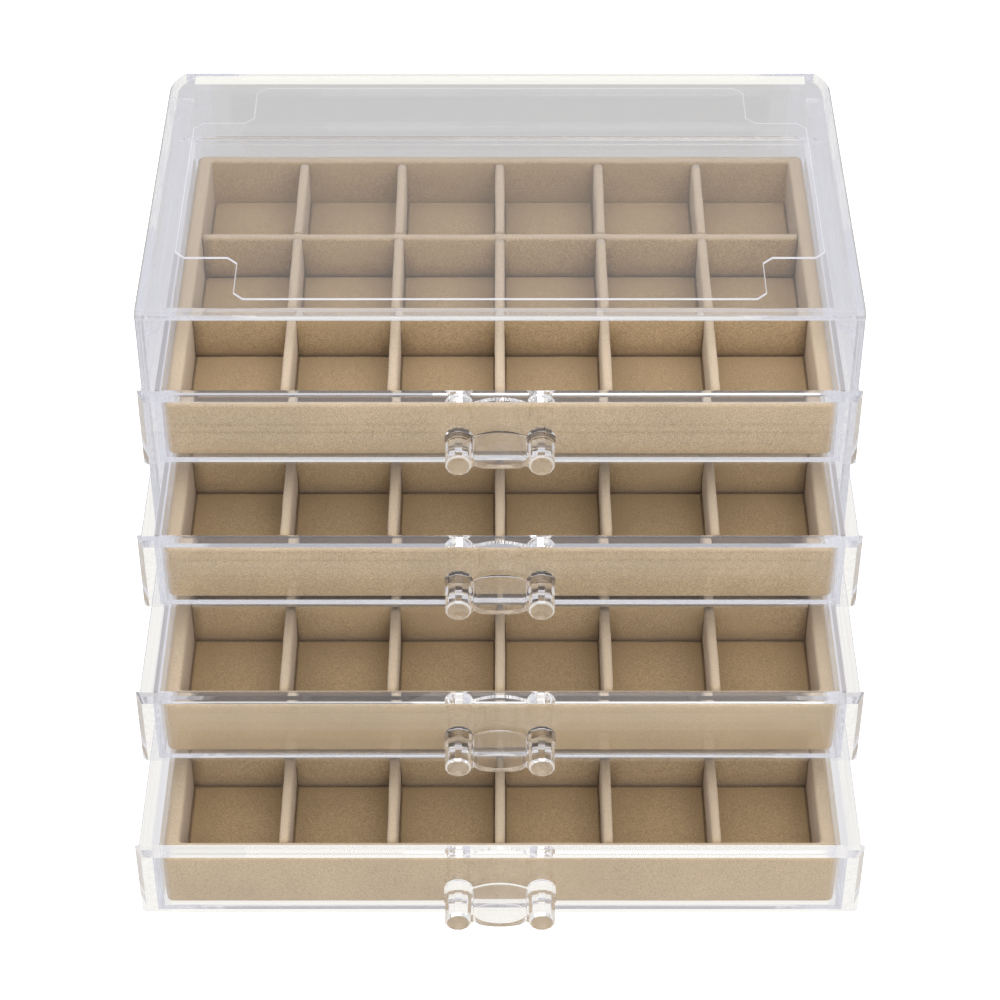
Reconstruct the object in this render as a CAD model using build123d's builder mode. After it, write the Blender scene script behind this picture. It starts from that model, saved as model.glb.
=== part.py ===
from build123d import *
from math import atan, degrees, sqrt
import os

# Clear jewellery organizer: an open-fronted case with four drawers on side runners. Each drawer
# has a bevelled front plate with a handle, and a velvet tray of three rows of six cells.
# Millimetres, +Z up, X to the right, front towards -Y. The drawers stand pulled out as a
# staircase. The origin is the middle of the footprint, on the surface that the feet stand on.

# Case
CASE_WIDTH = 235.0
CASE_DEPTH = 143.5
CASE_HEIGHT = 145.0
TOP_THICKNESS = 3.0
SIDE_THICKNESS = 2.8
BACK_THICKNESS = 2.5
CORNER_RUN_SIDE = 11.5
CORNER_RUN_BACK = 4.8
CORNER_BULGE = (1.25, 5.4)
CORNER_INSET_BACK = 0.89
CORNER_INSET_BULGE = (0.91, 0.43)
FRONT_BEVEL_DEPTH = 2.8
FRONT_BEVEL_DROP = 1.0

# Raised field on the top, with a notch at each corner for the foot of a second unit
FIELD_RISE = 0.6
FIELD_SIDE_MARGIN = 10.5
FIELD_FRONT_MARGIN = 7.0
FIELD_BACK_MARGIN = 10.9
NOTCH_WIDTH = 20.7
NOTCH_DEPTH = 22.7
NOTCH_CHAMFER = 3.2

# Base panel and its feet
FOOT_HEIGHT = 2.6
FOOT_CLEARANCE = 0.5
BASE_THICKNESS = 2.5
BASE_GAP = 0.1

# Drawers: how far each is pulled out, then heights measured down from the top of its front plate
PULLED_OUT = (33.9, 62.8, 96.8, 129.3)
FIRST_PLATE_TOP = 139.7
DRAWER_PITCH = 34.9
PLATE_WIDTH = 227.0
PLATE_HEIGHT = 29.2
PLATE_LAND = 0.5
BEVEL_DEPTH = 3.0
BEVEL_WIDTH = 2.0
BOX_WIDTH = 216.4
BOX_HEIGHT = 27.9
BOX_WALL = 2.2
BOX_FLOOR = 2.0
FLANGE_WIDTH = 224.6
FLANGE_LENGTH = 140.4
FLANGE_THICKNESS = 2.5
FLANGE_OVERHANG_BACK = 0.8
FLANGE_CORNER_RADIUS = 4.0
BOX_CORNER_RADIUS = 3.4

# Runners below each flange, and guides above it, bonded to the sides of the case
BOND_GAP = 0.05
RUNNER_WIDTH = 4.85
RUNNER_THICKNESS = 2.8
RUNNER_SETBACK = 1.0
RUNNER_BACK_SETBACK = 7.4
RUNNER_ROUND = 3.3
RUNNER_PLAY = 0.3
GUIDE_THICKNESS = 2.5
GUIDE_PLAY = 0.4

# Handle: two faceted posts with an arched web between them
HANDLE_DROP = 16.3
POST_SPACING = 26.0
POST_SIDES = 12
COLLAR_RADIUS = 4.6
COLLAR_LENGTH = 4.5
POST_RADIUS = 4.2
POST_LENGTH = 14.0
POST_CHAMFER_WIDTH = 0.8
POST_CHAMFER_DEPTH = 0.65
WEB_THICKNESS = 1.6
WEB_ARCH = 2.05
WEB_FLARE = 1.8
WEB_REACH_AT_POST = 11.4
WEB_REACH_MIDDLE = 16.6
WEB_ROOT = 1.5

# Velvet tray: a padded rim and floor, and strips on edge that are half-lapped where they cross
TRAY_GAP = 0.3
TRAY_FRONT_GAP = 1.2
TRAY_DROP = 5.2
TRAY_LIFT = 0.2
RIM_SIDE_THICKNESS = 5.1
RIM_FRONT_THICKNESS = 5.3
RIM_BACK_THICKNESS = 4.3
RIM_CORNER_RADIUS = 2.4
RIM_INNER_RADIUS = 1.0
RIM_OUTER_CROWN = 2.0
RIM_INNER_CROWN = 0.9
PAD_THICKNESS = 3.9
PAD_GAP = 0.4
PAD_CROWN = 1.1
COLUMNS = 6
ROW_STRIPS = (46.6, 88.3)
STRIP_THICKNESS = 3.2
STRIP_DROP = 6.2
STRIP_CROWN = 1.3
STRIP_GAP = 0.2
LAP_PLAY = 0.3

SIDE_NAMES = {-1: "left", 1: "right"}
PLATE_THICKNESS = PLATE_LAND + BEVEL_DEPTH
OVERALL_DEPTH = CASE_DEPTH + PULLED_OUT[-1] + PLATE_THICKNESS + BOND_GAP + WEB_REACH_MIDDLE
BACK_Y = OVERALL_DEPTH / 2
FRONT_Y = BACK_Y - CASE_DEPTH
SHOULDER_Z = CASE_HEIGHT - FIELD_RISE
CEILING_Z = SHOULDER_Z - TOP_THICKNESS
INNER_X = CASE_WIDTH / 2 - SIDE_THICKNESS
INNER_BACK_Y = BACK_Y - BACK_THICKNESS
TRAY_FLOOR_Z = BOX_FLOOR + TRAY_LIFT - BOX_HEIGHT


def save(builder, name):
    builder.part.label = name
    export_step(builder.part, f"parts/{name}.step")


# Outline of the case in plan, moved in from the sides and the back. Each back corner is one long curve
# that leaves the side smoothly and meets the back at an angle
def case_outline(side_inset, back_inset):
    half_width = CASE_WIDTH / 2 - side_inset
    back_y = BACK_Y - back_inset
    curve_start_y = BACK_Y - CORNER_RUN_SIDE
    curve_end_x = CASE_WIDTH / 2 - CORNER_RUN_BACK - CORNER_INSET_BACK * side_inset
    bulge_x = CASE_WIDTH / 2 - CORNER_BULGE[0] - CORNER_INSET_BULGE[0] * side_inset
    bulge_y = BACK_Y - CORNER_BULGE[1] - CORNER_INSET_BULGE[1] * side_inset
    with BuildSketch() as outline:
        with BuildLine():
            Line((-half_width, FRONT_Y), (half_width, FRONT_Y))
            Line((half_width, FRONT_Y), (half_width, curve_start_y))
            ThreePointArc((half_width, curve_start_y), (bulge_x, bulge_y), (curve_end_x, back_y))
            Line((curve_end_x, back_y), (-curve_end_x, back_y))
            ThreePointArc((-curve_end_x, back_y), (-bulge_x, bulge_y), (-half_width, curve_start_y))
            Line((-half_width, curve_start_y), (-half_width, FRONT_Y))
        make_face()
    return outline.sketch


# Case shell: sides, back and top in one moulding, with the raised field on the top
def make_case_shell():
    with BuildPart() as case_shell:
        with BuildSketch(Plane.XY.offset(FOOT_HEIGHT)):
            add(case_outline(0, 0))
        extrude(amount=SHOULDER_Z - FOOT_HEIGHT)
        with BuildSketch(Plane.XY.offset(FOOT_HEIGHT)):
            add(case_outline(SIDE_THICKNESS, BACK_THICKNESS))
        extrude(amount=CEILING_Z - FOOT_HEIGHT, mode=Mode.SUBTRACT)
        top_front_edge = case_shell.edges().filter_by(Axis.X).group_by(Axis.Z)[-1].sort_by(Axis.Y)[0]
        front_face = case_shell.faces().filter_by(Axis.Y).sort_by(Axis.Y)[0]
        chamfer(top_front_edge, FRONT_BEVEL_DROP, FRONT_BEVEL_DEPTH, reference=front_face)
        low_y = FRONT_Y + FIELD_FRONT_MARGIN
        high_y = BACK_Y - FIELD_BACK_MARGIN
        half_width = CASE_WIDTH / 2 - FIELD_SIDE_MARGIN
        with BuildSketch(Plane.XY.offset(SHOULDER_Z)) as field:
            with Locations((0, (low_y + high_y) / 2)):
                Rectangle(2 * half_width, high_y - low_y)
            with Locations(*[(side * half_width, y) for side in SIDE_NAMES for y in (low_y, high_y)]):
                Rectangle(2 * NOTCH_WIDTH, 2 * NOTCH_DEPTH, mode=Mode.SUBTRACT)
            chamfer(field.vertices(), NOTCH_CHAMFER)
        extrude(amount=FIELD_RISE)
    save(case_shell, "case_shell")


# Base panel between the sides, with the four feet moulded on
def make_base_panel():
    foot_width = NOTCH_WIDTH - FOOT_CLEARANCE
    foot_depth = NOTCH_DEPTH - FOOT_CLEARANCE
    foot_x = CASE_WIDTH / 2 - FIELD_SIDE_MARGIN - foot_width / 2
    foot_ys = (
        FRONT_Y + FIELD_FRONT_MARGIN + foot_depth / 2,
        BACK_Y - FIELD_BACK_MARGIN - foot_depth / 2,
    )
    with BuildPart() as base_panel:
        with BuildSketch(Plane.XY.offset(FOOT_HEIGHT)):
            add(case_outline(SIDE_THICKNESS + BASE_GAP, BACK_THICKNESS + BASE_GAP))
        extrude(amount=BASE_THICKNESS)
        with BuildSketch(Plane.XY) as feet:
            with Locations(*[(side * foot_x, y) for side in SIDE_NAMES for y in foot_ys]):
                Rectangle(foot_width, foot_depth)
            chamfer(feet.vertices(), NOTCH_CHAMFER)
        extrude(amount=FOOT_HEIGHT)
    save(base_panel, "base_panel")


# One flat strip along a side of the case. Its inner front and outer back corners are rounded
def make_side_strip(side, bottom, thickness, name):
    centre_x = side * (INNER_X - BOND_GAP - RUNNER_WIDTH / 2)
    start_y = FRONT_Y + RUNNER_SETBACK
    end_y = BACK_Y - RUNNER_BACK_SETBACK
    with BuildPart() as strip:
        with BuildSketch(Plane.XY.offset(bottom)) as plan:
            with Locations((centre_x, (start_y + end_y) / 2)):
                Rectangle(RUNNER_WIDTH, end_y - start_y)
            front_corners = plan.vertices().group_by(Axis.Y)[0].sort_by(Axis.X)
            back_corners = plan.vertices().group_by(Axis.Y)[-1].sort_by(Axis.X)
            fillet(front_corners[0 if side > 0 else -1], RUNNER_ROUND)
            fillet(back_corners[-1 if side > 0 else 0], RUNNER_ROUND)
        extrude(amount=thickness)
    save(strip, name)


# Runners for every drawer, and guides for all but the uppermost, which the top holds down
def make_side_strips(index, top):
    flange_bottom = top - FLANGE_THICKNESS
    for side, side_name in SIDE_NAMES.items():
        runner_bottom = flange_bottom - RUNNER_PLAY - RUNNER_THICKNESS
        make_side_strip(side, runner_bottom, RUNNER_THICKNESS, f"{side_name}_rail_{index + 1}")
        if index > 0:
            make_side_strip(side, top + GUIDE_PLAY, GUIDE_THICKNESS, f"{side_name}_guide_{index + 1}")


# Drawer box: four walls, floor, rim flange and bevelled front plate in one moulding
def make_drawer_box(prefix, top, plate_back_y):
    bottom = top - BOX_HEIGHT
    flange_back_y = plate_back_y + FLANGE_LENGTH
    box_back_y = flange_back_y - FLANGE_OVERHANG_BACK
    cavity_back_y = box_back_y - BOX_WALL
    with BuildPart() as drawer_box:
        with BuildSketch(Plane.XY.offset(bottom)) as walls:
            with Locations((0, (plate_back_y + box_back_y) / 2)):
                Rectangle(BOX_WIDTH, box_back_y - plate_back_y)
            fillet(walls.vertices().group_by(Axis.Y)[-1], BOX_CORNER_RADIUS)
        extrude(amount=BOX_HEIGHT)
        with BuildSketch(Plane.XY.offset(top)) as flange:
            with Locations((0, plate_back_y + FLANGE_LENGTH / 2)):
                Rectangle(FLANGE_WIDTH, FLANGE_LENGTH)
            fillet(flange.vertices().group_by(Axis.Y)[-1], FLANGE_CORNER_RADIUS)
        extrude(amount=-FLANGE_THICKNESS)
        with BuildSketch(Plane.XY.offset(bottom + BOX_FLOOR)) as cavity:
            with Locations((0, (plate_back_y + cavity_back_y) / 2)):
                Rectangle(BOX_WIDTH - 2 * BOX_WALL, cavity_back_y - plate_back_y)
            fillet(cavity.vertices().group_by(Axis.Y)[-1], BOX_CORNER_RADIUS - BOX_WALL)
        extrude(amount=BOX_HEIGHT, mode=Mode.SUBTRACT)
        with BuildSketch(Plane.XZ.offset(-plate_back_y)):
            with Locations((0, top - PLATE_HEIGHT / 2)):
                Rectangle(PLATE_WIDTH, PLATE_HEIGHT)
        extrude(amount=PLATE_LAND)
        with BuildSketch(Plane.XZ.offset(PLATE_LAND - plate_back_y)):
            with Locations((0, top - PLATE_HEIGHT / 2)):
                Rectangle(PLATE_WIDTH, PLATE_HEIGHT)
        extrude(amount=BEVEL_DEPTH, taper=degrees(atan(BEVEL_WIDTH / BEVEL_DEPTH)))
    save(drawer_box, f"{prefix}_box")


# Handle on the front plate. Between the posts the web is arched, with a flare below each end, and
# its front edge bows out
def make_handle(prefix, top, plate_front_y):
    base_y = plate_front_y - BOND_GAP
    axis_z = top - HANDLE_DROP
    low_z = axis_z - WEB_THICKNESS / 2
    high_z = axis_z + WEB_THICKNESS / 2
    span = POST_SPACING / 2 - COLLAR_RADIUS
    root = span + WEB_ROOT
    bend = span - WEB_FLARE
    flare_z = low_z - WEB_FLARE
    flare_middle = (bend + WEB_FLARE * sqrt(0.5), low_z - WEB_FLARE * (1 - sqrt(0.5)))
    face = Plane.XZ.offset(-base_y)
    posts = [(side * POST_SPACING / 2, axis_z) for side in SIDE_NAMES]
    with BuildPart() as handle:
        with BuildSketch(face):
            with BuildLine():
                ThreePointArc((-bend, low_z), (0, low_z + WEB_ARCH), (bend, low_z))
                ThreePointArc((bend, low_z), flare_middle, (span, flare_z))
                Polyline((span, flare_z), (root, flare_z), (root, high_z), (span, high_z))
                ThreePointArc((span, high_z), (0, high_z + WEB_ARCH), (-span, high_z))
                Polyline((-span, high_z), (-root, high_z), (-root, flare_z), (-span, flare_z))
                ThreePointArc((-span, flare_z), (-flare_middle[0], flare_middle[1]), (-bend, low_z))
            make_face()
        extrude(amount=WEB_REACH_MIDDLE)
        with BuildSketch(Plane.XY.offset(flare_z)):
            with BuildLine():
                end_y = base_y - WEB_REACH_AT_POST
                ThreePointArc((-span, end_y), (0, base_y - WEB_REACH_MIDDLE), (span, end_y))
                Polyline((span, end_y), (root, end_y), (root, base_y))
                Polyline((root, base_y), (-root, base_y), (-root, end_y), (-span, end_y))
            make_face()
        extrude(amount=WEB_FLARE + WEB_ARCH + WEB_THICKNESS, mode=Mode.INTERSECT)
        with BuildSketch(face):
            with Locations(*posts):
                RegularPolygon(POST_RADIUS, POST_SIDES, rotation=180 / POST_SIDES)
        extrude(amount=POST_LENGTH)
        for post in range(len(posts)):
            post_end = handle.faces().filter_by(Axis.Y).sort_by(Axis.Y)[:len(posts)].sort_by(Axis.X)[post]
            chamfer(post_end.edges(), POST_CHAMFER_WIDTH, POST_CHAMFER_DEPTH, reference=post_end)
        with BuildSketch(face):
            with Locations(*posts):
                RegularPolygon(COLLAR_RADIUS, POST_SIDES, rotation=180 / POST_SIDES)
        extrude(amount=COLLAR_LENGTH)
    save(handle, f"{prefix}_handle")


# Padded rim of the tray, crowned along its top
def make_tray_rim(prefix, top, front_y, back_y, half_width):
    inner_width = 2 * (half_width - RIM_SIDE_THICKNESS)
    inner_length = back_y - front_y - RIM_FRONT_THICKNESS - RIM_BACK_THICKNESS
    inner_middle_y = (front_y + RIM_FRONT_THICKNESS + back_y - RIM_BACK_THICKNESS) / 2
    with BuildPart() as tray_rim:
        with BuildSketch(Plane.XY.offset(top + TRAY_FLOOR_Z)):
            with Locations((0, (front_y + back_y) / 2)):
                RectangleRounded(2 * half_width, back_y - front_y, RIM_CORNER_RADIUS)
            with Locations((0, inner_middle_y)):
                RectangleRounded(inner_width, inner_length, RIM_INNER_RADIUS, mode=Mode.SUBTRACT)
        extrude(amount=-TRAY_FLOOR_Z - TRAY_DROP)
        fillet(tray_rim.faces().sort_by(Axis.Z)[-1].outer_wire().edges(), RIM_OUTER_CROWN)
        fillet(tray_rim.faces().sort_by(Axis.Z)[-1].inner_wires()[0].edges(), RIM_INNER_CROWN)
    save(tray_rim, f"{prefix}_tray_rim")


# Padded floor of the tray, inside the rim, its top rounded off to a gap all round
def make_floor_pad(prefix, top, front_y, back_y, half_width):
    width = 2 * (half_width - RIM_SIDE_THICKNESS - PAD_GAP)
    pad_front_y = front_y + RIM_FRONT_THICKNESS + PAD_GAP
    pad_back_y = back_y - RIM_BACK_THICKNESS - PAD_GAP
    with BuildPart() as floor_pad:
        with BuildSketch(Plane.XY.offset(top + TRAY_FLOOR_Z)):
            with Locations((0, (pad_front_y + pad_back_y) / 2)):
                Rectangle(width, pad_back_y - pad_front_y)
        extrude(amount=PAD_THICKNESS)
        fillet(floor_pad.faces().sort_by(Axis.Z)[-1].edges(), PAD_CROWN)
    save(floor_pad, f"{prefix}_floor_pad")


# Centres of the strips that divide the inside, from low to high, into equal cells
def strip_centres(low, high, cells):
    pitch = (high - low + STRIP_THICKNESS) / cells
    return [low - STRIP_THICKNESS / 2 + count * pitch for count in range(1, cells)]


# One strip on edge, its top edges rounded, with a slot half its height deep at each crossing
def make_strip(name, top, centre, size, run, crossings, slot_from_top):
    strip_top = top - STRIP_DROP
    strip_bottom = top + TRAY_FLOOR_Z + PAD_THICKNESS + STRIP_GAP
    height = strip_top - strip_bottom
    slot_depth = (height + LAP_PLAY) / 2
    slot_width = STRIP_THICKNESS + LAP_PLAY
    with BuildPart() as strip:
        with BuildSketch(Plane.XY.offset(strip_bottom)):
            with Locations(centre):
                Rectangle(*size)
        extrude(amount=height)
        fillet(strip.edges().filter_by(run).group_by(Axis.Z)[-1], STRIP_CROWN)
        with BuildSketch(Plane.XY.offset(strip_top - slot_depth if slot_from_top else strip_bottom)):
            with Locations(*crossings):
                Rectangle(slot_width, slot_width)
        extrude(amount=slot_depth, mode=Mode.SUBTRACT)
    save(strip, name)


# The strips of one tray: the long ones are slotted from below, the short ones from above
def make_strips(prefix, top, front_y, back_y, half_width):
    inner_x = half_width - RIM_SIDE_THICKNESS
    inner_front_y = front_y + RIM_FRONT_THICKNESS
    inner_back_y = back_y - RIM_BACK_THICKNESS
    columns = strip_centres(-inner_x, inner_x, COLUMNS)
    rows = [front_y + distance for distance in ROW_STRIPS]
    long_size = (2 * (inner_x - STRIP_GAP), STRIP_THICKNESS)
    short_size = (STRIP_THICKNESS, inner_back_y - inner_front_y - 2 * STRIP_GAP)
    for count, y in enumerate(rows, start=1):
        crossings = [(x, y) for x in columns]
        make_strip(f"{prefix}_long_divider_{count}", top, (0, y), long_size, Axis.X, crossings, False)
    middle_y = (inner_front_y + inner_back_y) / 2
    for count, x in enumerate(columns, start=1):
        crossings = [(x, y) for y in rows]
        name = f"{prefix}_short_divider_{count}"
        make_strip(name, top, (x, middle_y), short_size, Axis.Y, crossings, True)


# One whole drawer, with its tray
def make_drawer(index, top):
    prefix = f"drawer_{index + 1}"
    plate_back_y = FRONT_Y - PULLED_OUT[index]
    make_drawer_box(prefix, top, plate_back_y)
    make_handle(prefix, top, plate_back_y - PLATE_THICKNESS)
    tray_front_y = plate_back_y + TRAY_FRONT_GAP
    tray_back_y = plate_back_y + FLANGE_LENGTH - FLANGE_OVERHANG_BACK - BOX_WALL - TRAY_GAP
    tray_half_width = BOX_WIDTH / 2 - BOX_WALL - TRAY_GAP
    make_tray_rim(prefix, top, tray_front_y, tray_back_y, tray_half_width)
    make_floor_pad(prefix, top, tray_front_y, tray_back_y, tray_half_width)
    make_strips(prefix, top, tray_front_y, tray_back_y, tray_half_width)


os.makedirs("parts", exist_ok=True)
make_case_shell()
make_base_panel()
for drawer_index in range(len(PULLED_OUT)):
    drawer_top = FIRST_PLATE_TOP - drawer_index * DRAWER_PITCH
    make_side_strips(drawer_index, drawer_top)
    make_drawer(drawer_index, drawer_top)
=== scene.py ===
import math

import bmesh
import bpy
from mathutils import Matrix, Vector, noise


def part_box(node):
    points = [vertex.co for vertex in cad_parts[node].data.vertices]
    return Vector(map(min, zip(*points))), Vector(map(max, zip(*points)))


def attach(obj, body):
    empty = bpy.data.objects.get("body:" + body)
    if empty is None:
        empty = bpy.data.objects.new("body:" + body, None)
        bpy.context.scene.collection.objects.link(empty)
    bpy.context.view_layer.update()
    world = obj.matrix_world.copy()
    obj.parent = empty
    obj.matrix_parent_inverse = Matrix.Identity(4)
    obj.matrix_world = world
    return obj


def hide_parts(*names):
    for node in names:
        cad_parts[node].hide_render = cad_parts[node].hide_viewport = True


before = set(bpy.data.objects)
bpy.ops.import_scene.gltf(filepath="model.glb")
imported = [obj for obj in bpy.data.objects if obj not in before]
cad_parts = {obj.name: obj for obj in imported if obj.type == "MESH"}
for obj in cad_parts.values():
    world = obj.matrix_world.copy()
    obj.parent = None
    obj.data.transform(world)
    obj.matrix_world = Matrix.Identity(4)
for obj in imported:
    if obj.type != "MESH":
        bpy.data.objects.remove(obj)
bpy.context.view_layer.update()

MM = 0.001
DRAWERS = 4
LONG_STRIPS = 2
SHORT_STRIPS = 5

# Camera, in metres from the case's front face and from the table
CAMERA_X = 0.0
CAMERA_DISTANCE = 0.7274
CAMERA_HEIGHT = 0.68835
CAMERA_PITCH = 40.57
LENS = 101.8

# Clear plastic, and the painted light, an emission, that is mixed in where the moulded edges shine
CLEAR_TINT = (0.997, 0.997, 0.998)
CLEAR_IOR = 1.49
SHADOW_TINT = (0.95, 0.95, 0.955)
# Painted haze: a share of pale light mixed in on rays inside the plastic, more in streaks at the sides
PAINTED_HAZE = 0.018
PAINTED_HAZE_SIDE_LOW = -0.2
PAINTED_HAZE_SIDE_HIGH = 0.5
GLOW_STREAK_SIZE = 1.6 * MM
GLOW_STREAK_RUN = 0.02
PAINTED_HAZE_SIDE_X = 104.0 * MM
PAINTED_HAZE_COLOUR = (0.68, 0.68, 0.74)
GUIDING_DEPTH = 5.0 * MM
GUIDING_X = 97.0 * MM

# Raised field on the top, and the pale line of its edge, a painted highlight; then the other painted light
# and shade on the plastic
FIELD_RISE = 0.6 * MM
FIELD_SIDE_MARGIN = 10.5 * MM
FIELD_FRONT_MARGIN = 7.0 * MM
FIELD_BACK_MARGIN = 10.9 * MM
NOTCH_WIDTH = 20.7 * MM
NOTCH_DEPTH = 22.7 * MM
NOTCH_CHAMFER = 3.2 * MM
TOP_THICKNESS = 3.0 * MM
# Painted highlight on the top's front edge: its flat face, less an unlit line, and the upper part of its
# bevel
BEVEL_DROP = 1.0 * MM
BEVEL_LIT_Y = 2.0 * MM
BEVEL_LIT_HALF = 0.7 * MM
UNLIT_LINE_DROP = 1.6 * MM
UNLIT_LINE_HALF = 0.55 * MM
FLAT_EDGE_HIGHLIGHT_SHARE = 0.6
BEVEL_HIGHLIGHT_SHARE = 0.25
FRONT_EDGE_HIGHLIGHT_COLOUR = (0.70, 0.69, 0.74)
# Painted glow on the band of the top over the back wall
BACK_BAND_Y = 4.7 * MM
BACK_BAND_HALF = 2.7 * MM
BACK_BAND_X = 109.0 * MM
BACK_BAND_GLOW_SHARE = 0.85
BACK_BAND_GLOW_COLOUR = (0.99, 0.975, 0.91)
# Painted shade: a share of grey light along the top's side edges
OUTLINE_WIDTH = 0.5 * MM
OUTLINE_DROP = 3.0 * MM
OUTLINE_SHADE_SHARE = 0.5
OUTLINE_SHADE_COLOUR = (0.38, 0.36, 0.33)
# Painted glow on top of the drawers' side walls
DRAWER_WALL_X = 107.0 * MM
DRAWER_WALL_HALF = 1.4 * MM
WALL_TOP_DEPTH = 0.7 * MM
WALL_TOP_GLOW_SHARE = 0.42
WALL_TOP_GLOW_COLOUR = (0.68, 0.68, 0.74)
POST_LENGTH = 14.0 * MM
# Painted highlight on the chamfer round the posts' front ends
POST_RING_RADIUS = 3.45 * MM
POST_RING_DEPTH = 0.6 * MM
POST_RING_HIGHLIGHT_SHARE = 0.45
POST_RING_HIGHLIGHT_COLOUR = (0.95, 0.94, 0.93)
# Painted highlight along the edge of the raised field
FIELD_HIGHLIGHT_WIDTH = 0.3 * MM
FIELD_HIGHLIGHT_SHARE = 0.75
FIELD_HIGHLIGHT_COLOUR = (0.84, 0.84, 0.90)

# Handle, where it is bonded to the front plate
HANDLE_DROP = 16.3 * MM
PLATE_THICKNESS = 3.5 * MM
BOND_GAP = 0.05 * MM
BOND_DEPTH = 0.02 * MM
POST_X = 13.0 * MM
POST_BOND_RADIUS = 4.5 * MM
WEB_BOND_HALF = 0.75 * MM
WEB_BOND_REACH = 9.0 * MM
WEB_ARCH = 2.05 * MM
WEB_SPAN = 8.4 * MM

# Velvet tray, the same sizes as its solids
RIM_SIDE = 5.1 * MM
RIM_FRONT = 5.3 * MM
RIM_BACK = 4.3 * MM
RIM_CORNER = 2.4 * MM
RIM_INNER_CORNER = 1.0 * MM
LEAST_CORNER = 0.4 * MM
STRIP_LAP = 0.5 * MM
STRIP_FOOT = 0.45 * MM
VELVET_DARK = (0.24, 0.16, 0.076)
VELVET_LIGHT = (0.61, 0.46, 0.27)
FLOOR_DARK = (0.235, 0.152, 0.064)
FLOOR_LIGHT = (0.595, 0.425, 0.225)
# Painted sheen: a paler base colour at grazing angles and on parts that face up
VELVET_SHEEN_COLOUR = (0.62, 0.53, 0.43)
VELVET_GRAZING_SHEEN = 0.55
VELVET_UPWARD_SHEEN = 0.35
GRAIN_SIZE = 0.36 * MM
FLECK_SIZE = 1.4 * MM
BRUSHED_SIZE = 24 * MM
GRAIN_STOPS = (0.30, 0.70)
NAP_STOPS = ((0.35, (0.93, 0.92, 0.90)), (0.65, (1.05, 1.04, 1.03)))
GRAZING_SHEEN_BLEND = 0.35
UPWARD_SHEEN_FROM, UPWARD_SHEEN_TO = 0.15, 0.85
SHEEN_TINT = (1.0, 0.93, 0.85)
FLECK_BUMP = (0.3, 0.25 * MM)
GRAIN_BUMP = (0.6, 0.2 * MM)
PAD_REACH = 0.3 * MM
STRIP_HALF = 1.6 * MM
GROOVE_WIDTH = 0.5 * MM
GROOVE_DEPTH = 0.9 * MM
GROOVE_STEPS = (0.15 * MM, 0.5 * MM, 0.8 * MM)
UNDER_STRIP = 0.3 * MM
CLEAR_OF_GROOVE = 0.4 * MM
PAD_SINK = 0.35 * MM
PAD_PUFF = 0.3 * MM
PAD_SWAY = 0.06 * MM
PAD_SWAY_SIZE = 11 * MM
PAD_COLUMNS, PAD_ROWS = 72, 45

# Points of the rim's loops, and how unevenly the rim is made
RIM_COLUMNS, RIM_ROWS, RIM_CORNER_STEPS = 52, 33, 5
RIM_PLAY = 0.1 * MM
RIM_OUTER_ROUND = 1.9 * MM
RIM_INNER_ROUND = 1.3 * MM
RIM_FOOT_ROUND = 0.5 * MM
RIM_SWAY = 0.08 * MM
RIM_SWAY_SIZE = 18 * MM
RIM_LIFT = 0.16 * MM
RIM_LIFT_SIZE = 14 * MM
RIM_LIFT_SEED = 9

# Strips on edge: clearances, rounding and how unevenly they are made
STRIP_END_PLAY = 0.1 * MM
STRIP_SIDE_PLAY = 0.05 * MM
STRIP_CROWN = 1.25 * MM
STRIP_SWELL = 0.04 * MM
STRIP_SINK = 1.0 * MM
STRIP_FOOT_Z = 0.15 * MM
STATION_SPACING = 4 * MM
CLEAR_OF_SLOT = 0.6 * MM
SLOT_EDGE = 0.04 * MM
STRIP_BEND = 0.25 * MM
STRIP_BEND_SIZE = 45 * MM
STRIP_UNEVEN = 0.08
STRIP_UNEVEN_SIZE = 9 * MM
STRIP_UNEVEN_SEED = 5

# Table, world and lamps. A lamp has a place, a size, a power and a colour
TABLE_SIZE = 4.0
TABLE_COLOUR = (0.80, 0.80, 0.80)
TABLE_GLOW = 0.60
UNDER_GLOW_NEAR = (0.97, 0.95, 0.90)
UNDER_GLOW_FAR = (0.60, 0.595, 0.59)
UNDER_GLOW_WALL = (0.70, 0.70, 0.76)
WALL_X = 0.1158
WALL_HALF = 0.003
WALL_FRONT_Y = 0.0
GLOW_NEAR_Y = 0.15
GLOW_FAR_Y = 0.21
WORLD_SEEN = 0.82
WORLD_LIGHT = 1.7
HORIZON_COLOUR = (0.90, 0.90, 0.96)
SKY_COLOUR = (0.80, 0.80, 0.83)
SKY_FROM = 0.7
LAMP_TARGET = (0, 0, 0.05)
LAMP_COLOUR = (1.0, 0.985, 0.96)
LAMPS = {
    "front_softbox": ((0.3, -1.15, 0.65), (0.9, 0.6), 2.1, LAMP_COLOUR),
    "high_softbox": ((0.3, -0.75, 1.10), (0.9, 0.7), 2.55, LAMP_COLOUR),
}
BOUNCES = 64


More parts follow.
